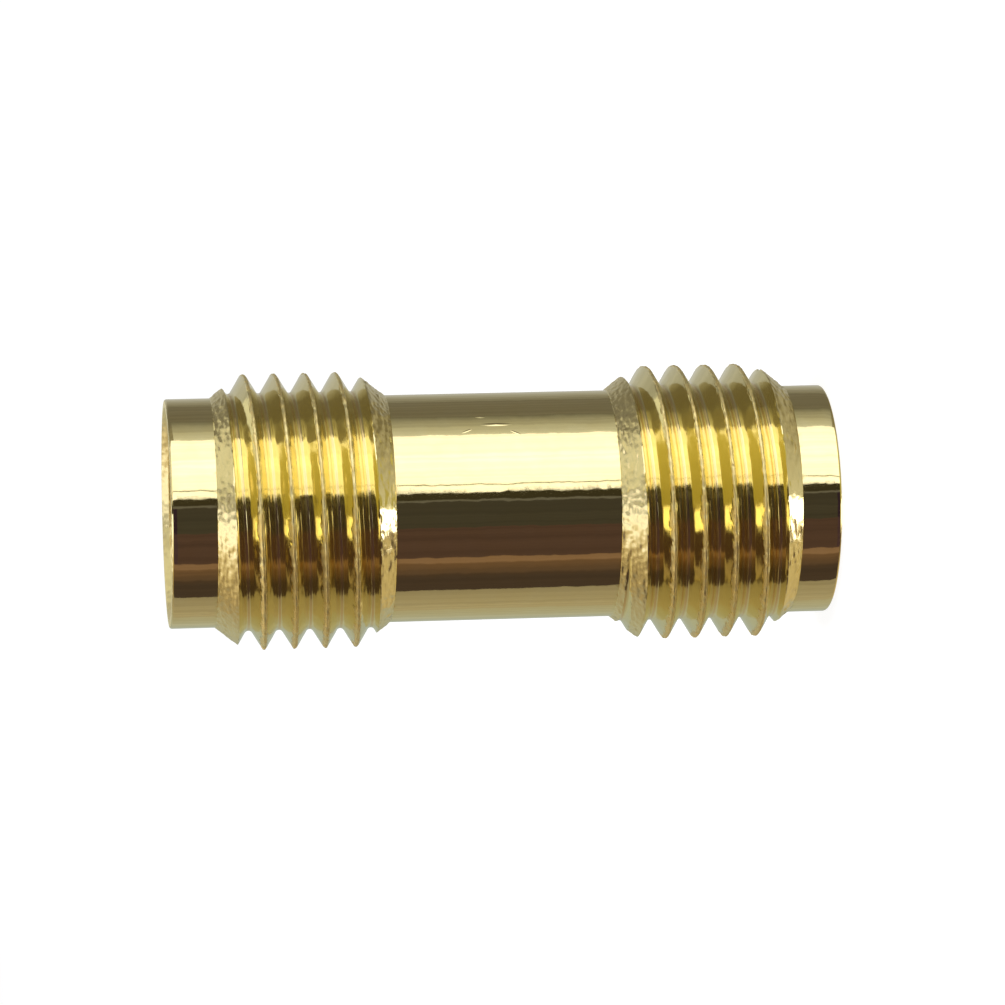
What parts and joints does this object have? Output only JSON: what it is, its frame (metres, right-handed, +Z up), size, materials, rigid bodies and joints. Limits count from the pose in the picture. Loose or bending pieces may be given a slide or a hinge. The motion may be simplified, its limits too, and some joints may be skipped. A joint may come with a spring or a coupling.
{
  "type": "coax adapter",
  "caption": "Straight coax adapter: a gold-plated barrel with a screw-on jack at each end, joining two plugs in line through an insulated centre contact.",
  "frame": {"origin": "middle of the lower rim, on the surface that the adapter stands on", "axes": "+Z up the axis of the adapter, from the lower jack to the upper one; a crest of each thread faces +X at a stated height"},
  "size_m": [0.0064, 0.0064, 0.0152],
  "materials": {
    "gold_plate": "polished gold plate on brass",
    "ptfe": "white, waxy, turned",
    "contact_gold": "gold plate on beryllium copper"
  },
  "bodies": {
    "root": {"body": "gold_plate", "lower_insulator": "ptfe", "upper_insulator": "ptfe", "centre_contact": "contact_gold"}
  },
  "joints": []
}
